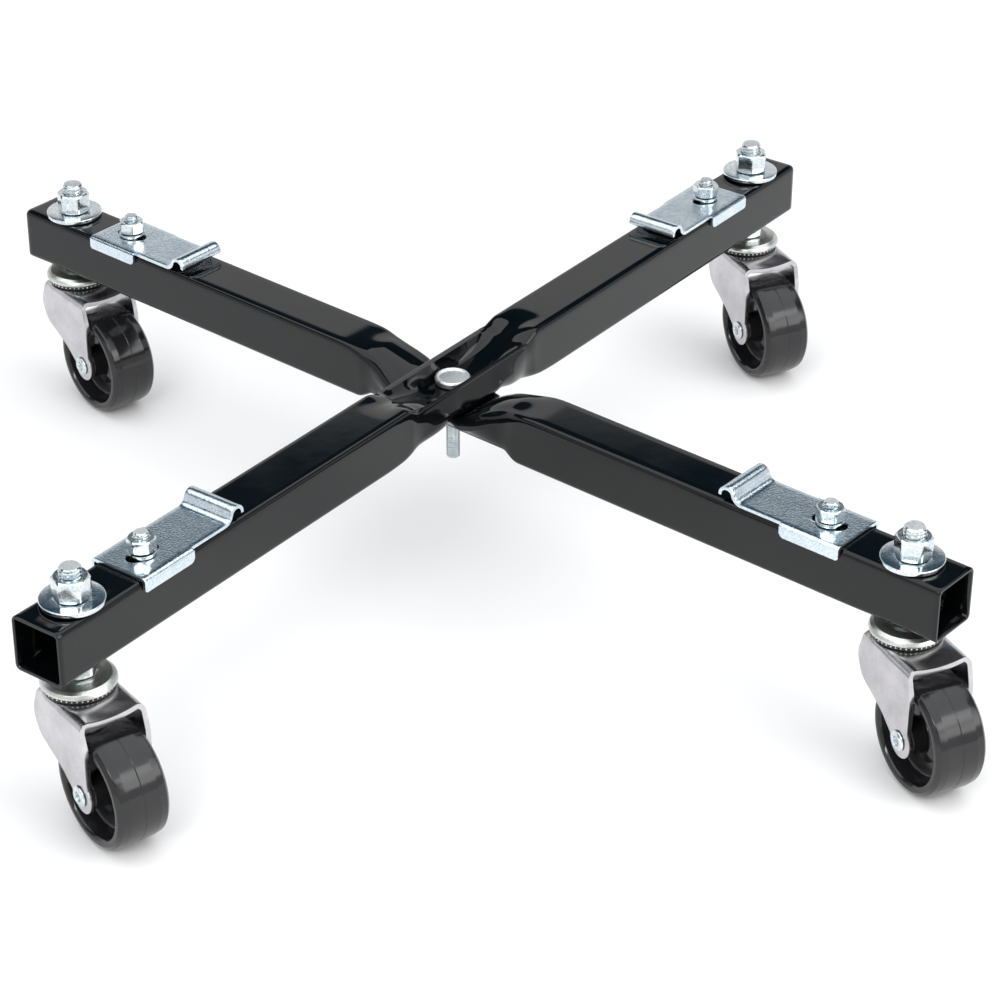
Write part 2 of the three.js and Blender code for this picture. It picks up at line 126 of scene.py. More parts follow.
# The clips, measured from the middle of their bolt and up from the tube.
CLIP_SHEET = 1.5
CLIP_OUTER_END = 14.3
HOOK_BEND_AT = -36.0
HOOK_RISE = 4.4
HOOK_ROLL = 3.3
FLANGE_LENGTH = 29.5
FLANGE_FOOT = -4.4
FLANGE_BEND = 1.3
FLANGE_SIDE = 1.05
SLOT_HALF_LENGTH = 8.35
SLOT_HALF_WIDTH = THREAD_SMALL + 0.4

# The pressed middle of the crossbars. The near wall has a sharp lip, and the far wall a flat land.
NEAR_RIDGE_DROP = 4.2
FAR_RIDGE_DROP = 2.9
NEAR_WALL_IN = 0.7
FAR_WALL_OUT = 0.5
FOLDED_LIP = 1.1
LAND = 2.6
NEAR_LAND = 0.2
FLOOR_HALF = 8.2
SPLAY = 3.2
SWELL = 0.7
SWELL_AT = 36
SWELL_LENGTH = 8
HUMP = 1.1
HUMP_AT = -4.0
HUMP_WIDTH = 5.5
UNDER_CROWN = 1.8
FOOT_ROUND_IN = 2.4
FOOT_ROUND_UP = 4.5
NEST_HALF = 16.5
NEST_CURVE = 2.2
SLOPE_CURVE = 2.4
UPPER_NEST = 16.9
UPPER_FLOOR = 10.7
LOWER_FLOOR = 9.4
UPPER_REACH = 66
LOWER_REACH = 60

# Where each change along a crossbar starts and ends, as distances from the pivot.
PRESS_ENDS = (37, 46)
RIDGE_ENDS = (37, 48)
FOLD_ENDS = (37, 41)
SPLAY_ENDS = (22, 44)
FLOOR_RISES = (10, 60)
FLOOR_NARROWS = (8, 40)
HUMP_STARTS = (10, 28)
HUMP_ENDS = (36, 56)
ROUND_STARTS = (10, 24)
ROUND_ENDS = (34, 52)

# How far from the pivot each stretch of cross-sections ends, and its number of steps. The tube is meshed
# as hollow from HOLLOW_FROM outwards.
HOLLOW_FROM = 62
STRETCHES = ((36, 30), (54, 36), (HOLLOW_FROM, 4), (ARM - 50, 8), (ARM - 0.5, 26))

# The dimple that a tightened stem nut pulls into the tube's top.
DIMPLE = 0.8
DIMPLE_WIDTH = 13

UPPER_BODY = "upper_frame"
LOWER_BODY = "lower_frame"

# How each pair of nuts was left when tightened: stem nut and clip nut, in degrees about the vertical.
NUT_TURNS = {
    "front_left": (24, 23),
    "front_right": (10, 7),
    "back_left": (15, 1),
    "back_right": (-4, 18),
}


def top_of(node):
    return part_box(node)[1].z / MM


def bottom_of(node):
    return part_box(node)[0].z / MM


def span_of(node):
    return bottom_of(node), top_of(node)


def middle_of(node):
    low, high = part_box(node)
    return (low + high) / 2 / MM


def joint_at(name):
    return Vector(JOINTS[name]["pos_m"]) / MM


PIVOT = joint_at("crossbar_swing")
UPPER_TOP = top_of("upper_crossbar")
LOWER_TOP = top_of("lower_crossbar")

# The camera, and the sine of the elevation where the white sweep ends.
CAMERA_AT = Vector((-122.922, -1196.161, 760.842)) * MM
CAMERA_YAW = 6.697
CAMERA_PITCH = 31.122
CAMERA_ROLL = -0.164
CAMERA_LENS = 111.53
SWEEP_TOP = 0.478
SWEEP_BLEND = 0.026

# ---------------------------------------------------------------- small helpers


def smoothstep(low, high, value):
    share = min(max((value - low) / (high - low), 0.0), 1.0)
    return share * share * (3 - 2 * share)


def lerp(a, b, share):
    return a + (b - a) * share


def spaced(start, end, count):
    """count + 1 evenly spaced numbers from start to end."""
    return [lerp(start, end, step / count) for step in range(count + 1)]


def arc(centre_x, centre_y, radius_x, radius_y, start, end, steps):
    """Points of an elliptical arc, with its angles in degrees."""
    points = []
    for angle in spaced(math.radians(start), math.radians(end), steps):
        points.append((centre_x + radius_x * math.cos(angle), centre_y + radius_y * math.sin(angle)))
    return points


def rounded(points, radius, steps=4, closed=True):
    """A line of 2-D points with every corner replaced by an arc of up to that radius."""
    count = len(points)
    made = []
    for number, point in enumerate(points):
        corner = Vector(point)
        if not closed and number in (0, count - 1):
            made.append(tuple(corner))
            continue
        before = Vector(points[number - 1]) - corner
        after = Vector(points[(number + 1) % count]) - corner
        turn = before.angle(after)
        reach = min(radius / math.tan(turn / 2), before.length * 0.45, after.length * 0.45)
        if turn > math.radians(172) or reach < 1e-3:
            made.append(tuple(corner))
            continue
        start = corner + before.normalized() * reach
        end = corner + after.normalized() * reach
        for share in spaced(0, 1, steps):
            curve = start.lerp(corner, share).lerp(corner.lerp(end, share), share)
            made.append(tuple(curve))
    return made


def place_at(x, y, z, degrees):
    return Matrix.Translation((x, y, z)) @ Matrix.Rotation(math.radians(degrees), 4, "Z")


class Form:
    """Vertices and faces that grow shape by shape."""

    def __init__(self):
        self.vertices = []
        self.faces = []

    def grid(self, rows, closed_rows=False, closed_columns=False, flip=False):
        """Adds a sheet of quads over rows of points that all have the same length."""
        base = len(self.vertices)
        count = len(rows[0])
        for row in rows:
            self.vertices.extend(row)
        for r in range(len(rows) if closed_rows else len(rows) - 1):
            for c in range(count if closed_columns else count - 1):
                below = base + r * count
                above = base + (r + 1) % len(rows) * count
                beside = (c + 1) % count
                quad = (below + c, below + beside, above + beside, above + c)
                self.faces.append(quad[::-1] if flip else quad)
        return self

    def cap(self, points, flip=False):
        """Adds one flat face."""
        base = len(self.vertices)
        self.vertices.extend(points)
        face = tuple(range(base, base + len(points)))
        self.faces.append(face[::-1] if flip else face)
        return self

    def lathe(self, profile, segments, closed=True):
        """Turns a profile of (radius, height) about the vertical axis."""
        rows = []
        for step in range(segments):
            angle = 2 * math.pi * step / segments
            rows.append([(r * math.cos(angle), r * math.sin(angle), z) for r, z in profile])
        return self.grid(rows, closed_rows=True, closed_columns=closed)

    def add(self, other, matrix=None):
        base = len(self.vertices)
        for vertex in other.vertices:
            self.vertices.append(tuple(matrix @ Vector(vertex)) if matrix else vertex)
        self.faces.extend(tuple(base + index for index in face) for face in other.faces)
        return self

    def turned(self, matrix):
        self.vertices = [tuple(matrix @ Vector(vertex)) for vertex in self.vertices]
        return self


def finish_mesh(form, name, sharp_degrees=32, merge=1e-3):
    mesh = bpy.data.meshes.new(name)
    mesh.from_pydata(form.vertices, [], form.faces)
    work = bmesh.new()
    work.from_mesh(mesh)
    bmesh.ops.remove_doubles(work, verts=work.verts, dist=merge)
    bmesh.ops.dissolve_degenerate(work, edges=work.edges, dist=merge)
    bmesh.ops.recalc_face_normals(work, faces=work.faces)
    work.to_mesh(mesh)
    work.free()
    mesh.shade_smooth()
    mesh.set_sharp_from_angle(angle=math.radians(sharp_degrees))
    return mesh


def piece(name, form, placement, material, sharp_degrees=32):
    """A new object, drawn in millimetres and placed by a matrix in millimetres."""
    mesh = finish_mesh(form, name, sharp_degrees)
    mesh.transform(Matrix.Scale(MM, 4) @ placement)
    mesh.materials.append(material)
    made = bpy.data.objects.new(name, mesh)
    bpy.context.scene.collection.objects.link(made)
    return made


def stand_for(made, node, body):
    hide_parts(node)
    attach(made, body)


# ---------------------------------------------------------------- materials


def new_material(name):
    material = bpy.data.materials.new(name)
    material.use_nodes = True
    tree = material.node_tree
    return material, tree, tree.nodes["Principled BSDF"]


def noise(tree, scale, detail=4.0, roughness=0.55, stretch=(1, 1, 1), seed=0.0):
    """A noise in the object's own coordinates, which are metres."""
    where = tree.nodes.new("ShaderNodeTexCoord")
    mapping = tree.nodes.new("ShaderNodeMapping")
    mapping.inputs["Scale"].default_value = stretch
    mapping.inputs["Location"].default_value = (seed, seed * 0.7, seed * 1.3)
    texture = tree.nodes.new("ShaderNodeTexNoise")
    texture.inputs["Scale"].default_value = scale
    texture.inputs["Detail"].default_value = detail
    texture.inputs["Roughness"].default_value = roughness
    tree.links.new(where.outputs["Object"], mapping.inputs["Vector"])
    tree.links.new(mapping.outputs["Vector"], texture.inputs["Vector"])
    return texture.outputs["Fac"]


def ramp(tree, source, low, high, start, end):
    """Maps source from low..high to the numbers or colours start..end."""
    node = tree.nodes.new("ShaderNodeValToRGB")
    node.color_ramp.elements[0].position = low
    node.color_ramp.elements[1].position = high
    for element, value in zip(node.color_ramp.elements, (start, end)):
        element.color = (*value, 1) if hasattr(value, "__len__") else (value, value, value, 1)
    tree.links.new(source, node.inputs["Fac"])
    return node.outputs["Color"]


def mix(tree, first, second, factor, mode="MIX"):
    node = tree.nodes.new("ShaderNodeMix")
    node.data_type = "RGBA"
    node.blend_type = mode
    sockets = [node.inputs[0], node.inputs[6], node.inputs[7]]
    for socket, value in zip(sockets, (factor, first, second)):
        if hasattr(value, "is_linked"):
            tree.links.new(value, socket)
        elif hasattr(value, "__len__"):
            socket.default_value = (*value, 1)
        else:
            socket.default_value = value
    return node.outputs[2]


def bump(tree, shader, height, strength, distance_mm):
    node = tree.nodes.new("ShaderNodeBump")
    node.inputs["Strength"].default_value = strength
    node.inputs["Distance"].default_value = distance_mm * MM
    tree.links.new(height, node.inputs["Height"])
    tree.links.new(node.outputs["Normal"], shader.inputs["Normal"])


def black_paint():
    material, tree, shader = new_material("gloss_black_paint")
    shader.inputs["IOR"].default_value = 1.5
    shader.inputs["Specular IOR Level"].default_value = 0.37
    base = ramp(tree, noise(tree, 30, 3), 0.35, 0.7, (0.001, 0.0015, 0.002), (0.0025, 0.003, 0.0035))
    specks = ramp(tree, noise(tree, 700, 1, seed=3), 0.78, 0.83, 0.0, 1.0)
    tree.links.new(mix(tree, base, (0.03, 0.03, 0.03), specks), shader.inputs["Base Color"])
    tree.links.new(ramp(tree, noise(tree, 60, 4, seed=1), 0.3, 0.75, 0.04, 0.09), shader.inputs["Roughness"])
    bump(tree, shader, noise(tree, 150, 2, seed=2), 0.12, 0.05)
    return material


def zinc(name, dark, light, rough, grain, speckled, bump_mm):
    """Zinc plate: a mottled, crystalline metal whose grains each tilt a little."""
    material, tree, shader = new_material(name)
    shader.inputs["Metallic"].default_value = 1.0
    clouds = noise(tree, 90, 5)
    colour = ramp(tree, clouds, 0.3, 0.72, dark, light)
    speckle = ramp(tree, noise(tree, grain, 3, 0.75, seed=9), 0.38, 0.6, 0.35, 1.0)
    tree.links.new(mix(tree, colour, speckle, speckled, "MULTIPLY"), shader.inputs["Base Color"])
    scuffs = noise(tree, 140, 6, 0.7, stretch=(1, 3, 3), seed=5)
    tree.links.new(ramp(tree, scuffs, 0.3, 0.75, *rough), shader.inputs["Roughness"])
    bump(tree, shader, noise(tree, grain * 0.8, 2, 0.6, seed=7), 0.5, bump_mm)
    return material


def black_plastic():
    material, tree, shader = new_material("moulded_black_plastic")
    shader.inputs["IOR"].default_value = 1.5
    base = ramp(tree, noise(tree, 50, 4), 0.3, 0.75, (0.008, 0.008, 0.009), (0.014, 0.014, 0.015))
    tree.links.new(base, shader.inputs["Base Color"])
    tree.links.new(ramp(tree, noise(tree, 120, 5, seed=4), 0.3, 0.75, 0.1, 0.2), shader.inputs["Roughness"])
    bump(tree, shader, noise(tree, 90, 3, seed=6), 0.2, 0.08)
    return material


def painted_shade_retainer():
    """The ring that keeps the balls apart, coloured near-black as painted shade for the dark gap under the
    race.
    """
    material, tree, shader = new_material("retainer_painted_shade")
    base = ramp(tree, noise(tree, 400, 4), 0.3, 0.75, (0.006, 0.006, 0.005), (0.016, 0.015, 0.012))
    tree.links.new(base, shader.inputs["Base Color"])
    tree.links.new(ramp(tree, noise(tree, 600, 3, seed=8), 0.3, 0.75, 0.35, 0.6), shader.inputs["Roughness"])
    return material


def floor_paper():
    material, tree, shader = new_material("pale_floor")
    paper = ramp(tree, noise(tree, 3, 2), 0.3, 0.7, (0.925, 0.912, 0.905), (0.94, 0.927, 0.92))
    tree.links.new(paper, shader.inputs["Base Color"])
    shader.inputs["Roughness"].default_value = 0.9
    shader.inputs["Specular IOR Level"].default_value = 0.0
    return material


PAINT = black_paint()
SHEET = zinc(
    "zinc_sheet_plate",
    dark=(0.66, 0.76, 0.83),
    light=(0.8, 0.89, 0.95),
    rough=(0.11, 0.22),
    grain=1500,
    speckled=0.45,
    bump_mm=0.18,
)
FASTENER = zinc(
    "zinc_fastener_plate",
    dark=(0.66, 0.75, 0.79),
    light=(0.92, 0.95, 0.96),
    rough=(0.1, 0.2),
    grain=1200,
    speckled=0.5,
    bump_mm=0.05,
)
FROSTED = zinc(
    "zinc_frosted_end",
    dark=(0.85, 0.88, 0.9),
    light=(0.97, 0.98, 0.98),
    rough=(0.38, 0.5),
    grain=900,
    speckled=0.3,
    bump_mm=0.1,
)
FORK_ZINC = zinc(
    "zinc_fork_plate",
    dark=(0.5, 0.49, 0.51),
    light=(0.66, 0.64, 0.66),
    rough=(0.2, 0.27),
    grain=900,
    speckled=0.15,
    bump_mm=0.006,
)
RACE_ZINC = zinc(
    "zinc_race_plate",
    dark=(0.6, 0.62, 0.58),
    light=(0.78, 0.8, 0.75),
    rough=(0.28, 0.38),
    grain=1100,
    speckled=0.3,
    bump_mm=0.02,
)
BALL_STEEL = zinc(
    "bearing_steel",
    dark=(0.5, 0.5, 0.5),
    light=(0.8, 0.8, 0.8),
    rough=(0.08, 0.16),
    grain=500,
    speckled=0.2,
    bump_mm=0.003,
)
PLASTIC = black_plastic()
RETAINER_SHADE = painted_shade_retainer()

# ---------------------------------------------------------------- crossbars


class Press:
    """The pressed middle of a tube, seen with its trough upwards. Depths are from the outer face."""

    def __init__(self, nest, floor, reach):
        self.nest = nest
        self.floor = floor
        self.reach = reach


LOWER_NEST = UPPER_TOP - LOWER_TOP + TUBE - UPPER_NEST - GAP
UPPER_PRESS = Press(UPPER_NEST, UPPER_FLOOR, UPPER_REACH)
LOWER_PRESS = Press(LOWER_NEST, LOWER_FLOOR, LOWER_REACH)


def half_outline(x, press, inset, dimple_at, side):
    """Half of the tube's outline at x, from the middle of its top round to the middle of its underside.

    The points are (distance from the middle plane, z), with z = 0 at the outer face. The side is
    -1 for the wall with the sharp lip and 1 for the wall with a flat land beside the trough.
    """
    far = abs(x)
    pressed = 1 - smoothstep(*PRESS_ENDS, far)
    ridge_drop = NEAR_RIDGE_DROP if side < 0 else FAR_RIDGE_DROP
    ridge = -ridge_drop * (1 - smoothstep(*RIDGE_ENDS, far))
    floor = min(-press.floor * (1 - smoothstep(*FLOOR_RISES, far)), ridge)
    hump = HUMP * smoothstep(*HUMP_STARTS, far) * (1 - smoothstep(*HUMP_ENDS, far))
    sink = math.exp(-(((far - dimple_at) / DIMPLE_WIDTH) ** 2))

    folded = 1 - smoothstep(*FOLD_ENDS, far)
    lip = max(lerp(TUBE_CORNER, FOLDED_LIP, folded) - inset, 0.4)
    half = HALF - inset + (FAR_WALL_OUT if side > 0 else -NEAR_WALL_IN) * pressed
    edge = half - lip
    crease = edge - (LAND if side > 0 else NEAR_LAND) * pressed
    floor_half = lerp(0.15 * edge, FLOOR_HALF, 1 - smoothstep(*FLOOR_NARROWS, far))
    crest = ridge - inset - 0.35 * sink

    # The top, from the middle of the trough up its slope and over the lip.
    points = []
    for share in spaced(0, 1, 12)[:-1]:
        y = crease * share
        rise = min(max((y - floor_half) / (crease - floor_half), 0), 1)
        rise = lerp(smoothstep(0, 1, rise), rise**SLOPE_CURVE, folded)
        swelling = hump * math.exp(-(((side * y - HUMP_AT) / HUMP_WIDTH) ** 2)) * (1 - share**4)
        dimple = 0.45 * sink + DIMPLE * sink * (1 - smoothstep(0, 1, rise))
        points.append((y, lerp(floor, ridge, rise) + swelling - inset - dimple))
    points.append((crease, crest))
    points.append((lerp(crease, edge, 0.5), crest - 0.05 * pressed))
    points += arc(edge, crest - lip - 0.2 * pressed, lip, lip, 90, 0, 7)

    # The wall, which bulges and splays on its way down, and the underside, which rises into the nest.
    rise = min(max((press.reach - far) / (press.reach - NEST_HALF), 0), 1)
    under = (TUBE - press.nest) * rise**NEST_CURVE
    crown = UNDER_CROWN * smoothstep(0, 2.5, under) * smoothstep(NEST_HALF, NEST_HALF + 8, far)
    turn_under = smoothstep(*ROUND_STARTS, far) * (1 - smoothstep(*ROUND_ENDS, far))
    foot_in = TUBE_CORNER - inset / 2 + FOOT_ROUND_IN * turn_under
    foot_up = TUBE_CORNER - inset / 2 + FOOT_ROUND_UP * turn_under
    bottom = -TUBE + under + inset
    side_bottom = bottom + foot_up
    side_top = points[-1][1]
    swell = SWELL * math.exp(-(((far - SWELL_AT) / SWELL_LENGTH) ** 2))
    splayed = lerp(half, HALF - inset + SPLAY, 1 - smoothstep(*SPLAY_ENDS, far))
    for share in spaced(0, 1, 12)[1:-1]:
        out = swell * math.sin(math.pi * share**0.7)
        points.append((lerp(half, splayed, share) + out, lerp(side_top, side_bottom, share)))
    points += arc(splayed - foot_in, side_bottom, foot_in, foot_up, 0, -90, 8)
    inner = splayed - foot_in
    for share in spaced(0, 1, 4)[1:]:
        points.append((inner * (1 - share), bottom - crown * (1 - (1 - share) ** 2)))
    return points


def tube_outline(x, press, inset, dimple_at):
    """The tube's whole outline at x, as (y, z) points, inset by a wall."""
    right = half_outline(x, press, inset, dimple_at, 1)
    left = half_outline(x, press, inset, dimple_at, -1)
    return right + [(-y, z) for y, z in left[1:-1]][::-1]


def crossbar(press, dimple_at):
    """A tube lying along x, pressed at its middle and open at both ends, where its wall shows."""

    def section(x, reach, inset):
        return [(x, y, z) for y, z in tube_outline(reach, press, inset, dimple_at)]

    stations = [0]
    start = 0
    for end, steps in STRETCHES:
        stations += spaced(start, end, steps)[1:]
        start = end
    both_ways = [-x for x in stations[:0:-1]] + stations

    form = Form()
    ends = {side: section(side * ARM, ARM, 0.35) for side in (-1, 1)}
    form.grid([ends[-1]] + [section(x, x, 0) for x in both_ways] + [ends[1]], closed_columns=True)
    for side in (-1, 1):
        inside = [section(side * x, x, WALL) for x in spaced(ARM - 0.4, HOLLOW_FROM, 20)]
        form.grid([ends[side], section(side * ARM, ARM, WALL - 0.3)] + inside, closed_columns=True)
        form.cap(inside[-1])
    return form


# ---------------------------------------------------------------- fasteners


def hex_radius(angle, flats, corner_round=0.25):
    """Distance from a hexagon's middle to its outline, with its corners slightly rounded."""
    turned = (angle + math.pi / 6) % (math.pi / 3) - math.pi / 6
    flat = flats / 2 / math.cos(turned)
    corner = flats / 2 / math.cos(math.pi / 6) - corner_round
    return min(flat, corner)


def hex_form(flats, bottom, top, hole, chamfer_bottom=True, chamfer_top=True, crown=0.48):
    """A hexagon nut or head with its corners turned off at the faces."""
    form = Form()
    face = crown * flats
    rows = []
    per_side = 12
    for step in range(6 * per_side):
        angle = 2 * math.pi * step / (6 * per_side)
        reach = hex_radius(angle, flats)
        drop = max(reach - face, 0) * math.tan(math.radians(32))
        low = bottom + (drop if chamfer_bottom else 0)
        high = top - (drop if chamfer_top else 0)
        profile = [
            (hole, bottom),
            (min(face, reach), bottom),
            (reach - 0.12, low + 0.02),
            (reach, low + 0.16),
            (reach, high - 0.16),
            (reach - 0.12, high - 0.02),
            (min(face, reach), top),
            (hole + 0.5, top),
            (hole, top - 0.5),
        ]
        rows.append([(r * math.cos(angle), r * math.sin(angle), z) for r, z in profile])
    return form.grid(rows, closed_rows=True, closed_columns=True)


def thread_form(radius, pitch, bottom, top, chamfer):
    """A cut thread that runs out in a chamfered end, as a helical surface."""
    around = 32
    per_turn = 8
    depth = 0.6 * pitch
    turns = int(math.ceil((top - bottom) / pitch)) + 2
    form = Form()
    columns = []
    for step in range(around + 1):
        angle = 2 * math.pi * step / around
        column = []
        for level in range(turns * per_turn + 1):
            height = bottom - pitch + pitch * (level / per_turn + step / around)
            phase = (level / per_turn) % 1
            ridge = 1 - abs(2 * phase - 1)
            crest = smoothstep(0.12, 0.88, ridge)
            r = radius - depth * (1 - crest)
            z = min(max(height, bottom), top)
            r = min(r, radius - chamfer + (top - z))
            column.append((r * math.cos(angle), r * math.sin(angle), z))
        columns.append(column)
    return form.grid(columns)


def cut_end_form(radius, top):
    """The slightly domed, rough end face of a threaded rod."""
    profile = [(radius + 0.02, top), (radius * 0.8, top + 0.05), (0.02, top + 0.1)]
    return Form().lathe(profile, 32, closed=False)


def rod_form(radius, bottom, top):
    return Form().lathe([(NEAR_AXIS, bottom), (radius, bottom), (radius, top), (NEAR_AXIS, top)], 32)


def washer_form(hole, outer, bottom, top, edge=0.35):
    """A flat ring with its edges rounded."""
    corners = [(hole, bottom), (outer, bottom), (outer, top), (hole, top)]
    return Form().lathe(rounded(corners, edge, 4), 72)


def split_washer_form(hole, outer, bottom, thick):
    """A spring washer: a ring cut once, its two ends sprung slightly apart."""
    rows = []
    for share in spaced(0, 1, 64):
        angle = math.radians(lerp(4, 356, share))
        lift = lerp(-0.12, 0.12, share)
        corners = rounded([(hole, 0.12), (outer, 0.12), (outer, thick - 0.12), (hole, thick - 0.12)], 0.2, 3)
        rows.append([(r * math.cos(angle), r * math.sin(angle), bottom + z + lift) for r, z in corners])
    form = Form().grid(rows, closed_columns=True)
    form.cap(rows[0])
    form.cap(rows[-1])
    return form


def carriage_head_form(seat, top, radius):
    """A low button head: a soft rim standing round a shallow dished top."""
    corners = [
        (NEAR_AXIS, seat),
        (radius - 0.3, seat),
        (radius, top - 1.0),
        (radius - 0.6, top),
        (radius - 1.3, top - 0.15),
        (radius - 2.0, top - 0.85),
        (NEAR_AXIS, top - 0.55),
    ]
    return Form().lathe(rounded(corners, 0.6, 4, closed=False), 72)


# ---------------------------------------------------------------- casters


def race_form(rim, top, hole):
    """The upper race: a pressed cup with a shallow step, a rounded shoulder and a rolled rim."""
    outer = [
        (RACE_RADIUS, rim),
        (RACE_RADIUS, rim + 1.1),
        (15.2, rim + 2.2),
        (13.6, rim + 3.3),
        (12.4, top - 0.5),
        (9.6, top),
        (hole, top),
    ]
    inner = [(hole, top - 1.4), (9.2, top - 1.5), (11.6, rim + 1.9), (14.0, rim + 1.4), (14.6, rim)]
    return Form().lathe(rounded(outer + inner, 0.7, 4), 96)


def ball_ring_form(height):
    """The ring of small balls, all at one height."""
    half_circle = arc(0.001, 0, BALL, BALL, -90, 90, 8)
    sphere = Form().lathe(half_circle, 14, closed=False)
    form = Form()
    for ball in range(BALL_COUNT):
        angle = 2 * math.pi * ball / BALL_COUNT
        at = Vector((BALL_CIRCLE * math.cos(angle), BALL_CIRCLE * math.sin(angle), height))
        form.add(sphere, Matrix.Translation(at))
    return form


def smooth_through(points, value):
    """A smooth curve through (value, result) points, read at one value."""
    last = len(points) - 1
    for number in range(last):
        (v0, r0), (v1, r1) = points[number], points[number + 1]
        if value >= v1 or number == last - 1:
            before = points[max(number - 1, 0)]
            after = points[min(number + 2, last)]
            width = v1 - v0
            lead_in = (r1 - before[1]) / (v1 - before[0]) * width
            lead_out = (after[1] - r0) / (after[0] - v0) * width
            t = min(max((value - v0) / width, 0), 1)
            return (
                (2 * t**3 - 3 * t**2 + 1) * r0
                + (t**3 - 2 * t**2 + t) * lead_in
                + (-2 * t**3 + 3 * t**2) * r1
                + (t**3 - t**2) * lead_out
            )
    return points[-1][1]


# Height and distance along the trail of the leg's rear edge, from its shoulder down.
REAR_EDGE = (
    (56, -11.0),
    (50, -11.9),
    (45, -10.4),
    (39, -6.6),
    (35, 1.6),
    (31.5, 8.6),
    (28, 13.4),
    (TIP_Z, TIP_X - TIP),
)


def fork_edges(z):
    """The leg's rear and front edges, as distances along the trail, at height z."""
    reach = math.sqrt(max(TIP * TIP - (z - TIP_Z) ** 2, 0))
    if z < TIP_Z:
        return TIP_X - reach, TIP_X + reach
    front = FORK_FRONT - 2.8 * smoothstep(FORK_TOP - 14, FORK_TOP, z)
    front = max(front, TIP_X + reach) if z < TIP_Z + TIP else front
    if z >= REAR_EDGE[0][0]:
        rise = (z - REAR_EDGE[0][0]) / (FORK_TOP - REAR_EDGE[0][0])
        return REAR_EDGE[0][1] + 2.4 * (1 - math.sqrt(max(1 - 0.9 * rise * rise, 0))), front
    return smooth_through(REAR_EDGE, z), front


def fork_rows():
    """Rows across the fork's outer skin, from the near tip up, over the crown and down to the far tip."""
    leg = []
    heights = [TIP_Z - TIP * math.cos(math.radians(angle)) for angle in (6, 20, 34, 48, 62, 76, 90)]
    heights += spaced(heights[-1], FORK_TOP - FORK_FOLD, 26)[1:]
    for z in heights:
        leg.append((FORK_HALF_WIDTH, z))
    inner = FORK_HALF_WIDTH - FORK_FOLD
    bend = arc(inner, FORK_TOP - FORK_FOLD, FORK_FOLD, FORK_FOLD, 0, 90, 8)[1:]
    across = [(y, FORK_TOP) for y in spaced(inner, 0, 8)[1:]]
    half = leg + bend + across
    return half + [(-y, z) for y, z in half[-2::-1]]


def fork_form():
    """The fork's outer skin, as one sheet folded over the crown. Its x runs along the trail."""
    rows = []
    columns = 34
    for y, z in fork_rows():
        level = min(z, FORK_TOP - 0.01)
        rear, front = fork_edges(level)
        flat = abs(y) < FORK_HALF_WIDTH - 0.01 and z > FORK_TOP - 4.3
        if flat:
            turn = (FORK_HALF_WIDTH - abs(y)) / FORK_HALF_WIDTH
            rear_crown = -math.sqrt(max(CROWN_RADIUS**2 - y * y, 0))
            rear = lerp(rear, rear_crown, smoothstep(0, 0.35, turn))
        row = []
        for share in spaced(0, 1, columns):
            x = lerp(rear, front, share)
            depth = 0.0
            if flat:
                # A dish towards the front edge, then a raised ring and a groove round the stem.
                radius = math.hypot(x, y)
                depth = CROWN_DIP * smoothstep(14, 25, x) * (1 - min(abs(y) / CROWN_DIP_HALF, 1) ** 2)
                depth -= RING_RISE * smoothstep(13.2, 14.2, radius) * (1 - smoothstep(15.4, 16.6, radius))
                depth += GROOVE * math.exp(-(((radius - GROOVE_AT) / 1.2) ** 2))
            rear_round = 1 - smoothstep(-12, -2, x)
            top_round = smoothstep(FORK_TOP - 16, FORK_TOP, z)
            pull = CORNER_IN * rear_round * top_round
            side = y - math.copysign(pull, y) if abs(y) > 6 else y
            row.append((x, side, z - depth - CORNER_DOWN * rear_round * top_round))
        rows.append(row)
    return Form().grid(rows)


def rivet_form():
    """The hollow rivet through fork and wheel, with a rolled lip at each end."""
    reach = FORK_HALF_WIDTH + GAP
    half = [
        (NEAR_AXIS, reach - 1.2),
        (1.8, reach - 1.2),
        (2.2, reach + 1.0),
        (3.3, reach + 1.1),
        (4.5, reach + 0.5),
        (4.6, reach),
        (AXLE, reach),
    ]
    upper = rounded(half, 0.4, 4, closed=False)
    lower = [(r, -z) for r, z in upper[::-1]]
    return Form().lathe(upper + lower, 48).turned(Matrix.Rotation(math.pi / 2, 4, "X"))


def wheel_form():
    """The wheel with its hub, recessed sides, rounded tread and the seam round its middle."""
    bore = AXLE + GAP
    hub_half = FORK_HALF_WIDTH - FORK_SHEET - GAP
    side = WHEEL_HALF_WIDTH
    rim = 0.83 * WHEEL_RADIUS
    corners = [
        (bore, hub_half),
        (6.9, hub_half),
        (7.6, 4.6),
        (12.5, 3.4),
        (rim - 2.6, 3.8),
        (rim - 0.8, side - 1.2),
        (rim, side),
        (WHEEL_RADIUS - 2.2, side),
        (WHEEL_RADIUS - 0.5, side - 1.6),
        (WHEEL_RADIUS, side - 5),
        (WHEEL_RADIUS, 1.2),
        (WHEEL_RADIUS, 0.7),
        (WHEEL_RADIUS, 0.2),
        (WHEEL_RADIUS - 0.14, 0),
    ]
    half = rounded(corners, 1.3, 6, closed=False)
    lower = [(r, -z) for r, z in half]
    profile = half + lower[-2::-1]
    return Form().lathe(profile, 128).turned(Matrix.Rotation(math.pi / 2, 4, "X"))


# ---------------------------------------------------------------- clips


def clip_line():
    """The sheet's outer skin from its outer edge inwards and over the rolled hook, as (x, z)."""
    base = GAP + CLIP_SHEET / 2
    reach = HOOK_RISE + HOOK_ROLL
    line = [(x, base) for x in spaced(CLIP_OUTER_END, HOOK_BEND_AT, 28)]
    line += arc(HOOK_BEND_AT, base + HOOK_RISE, HOOK_RISE, HOOK_RISE, -90, -165, 9)[1:]
    roll_x = HOOK_BEND_AT + reach * math.cos(math.radians(-165))
    roll_z = base + HOOK_RISE + reach * math.sin(math.radians(-165))
    line += arc(roll_x, roll_z, HOOK_ROLL, HOOK_ROLL, 15, 190, 16)[1:]
    return line


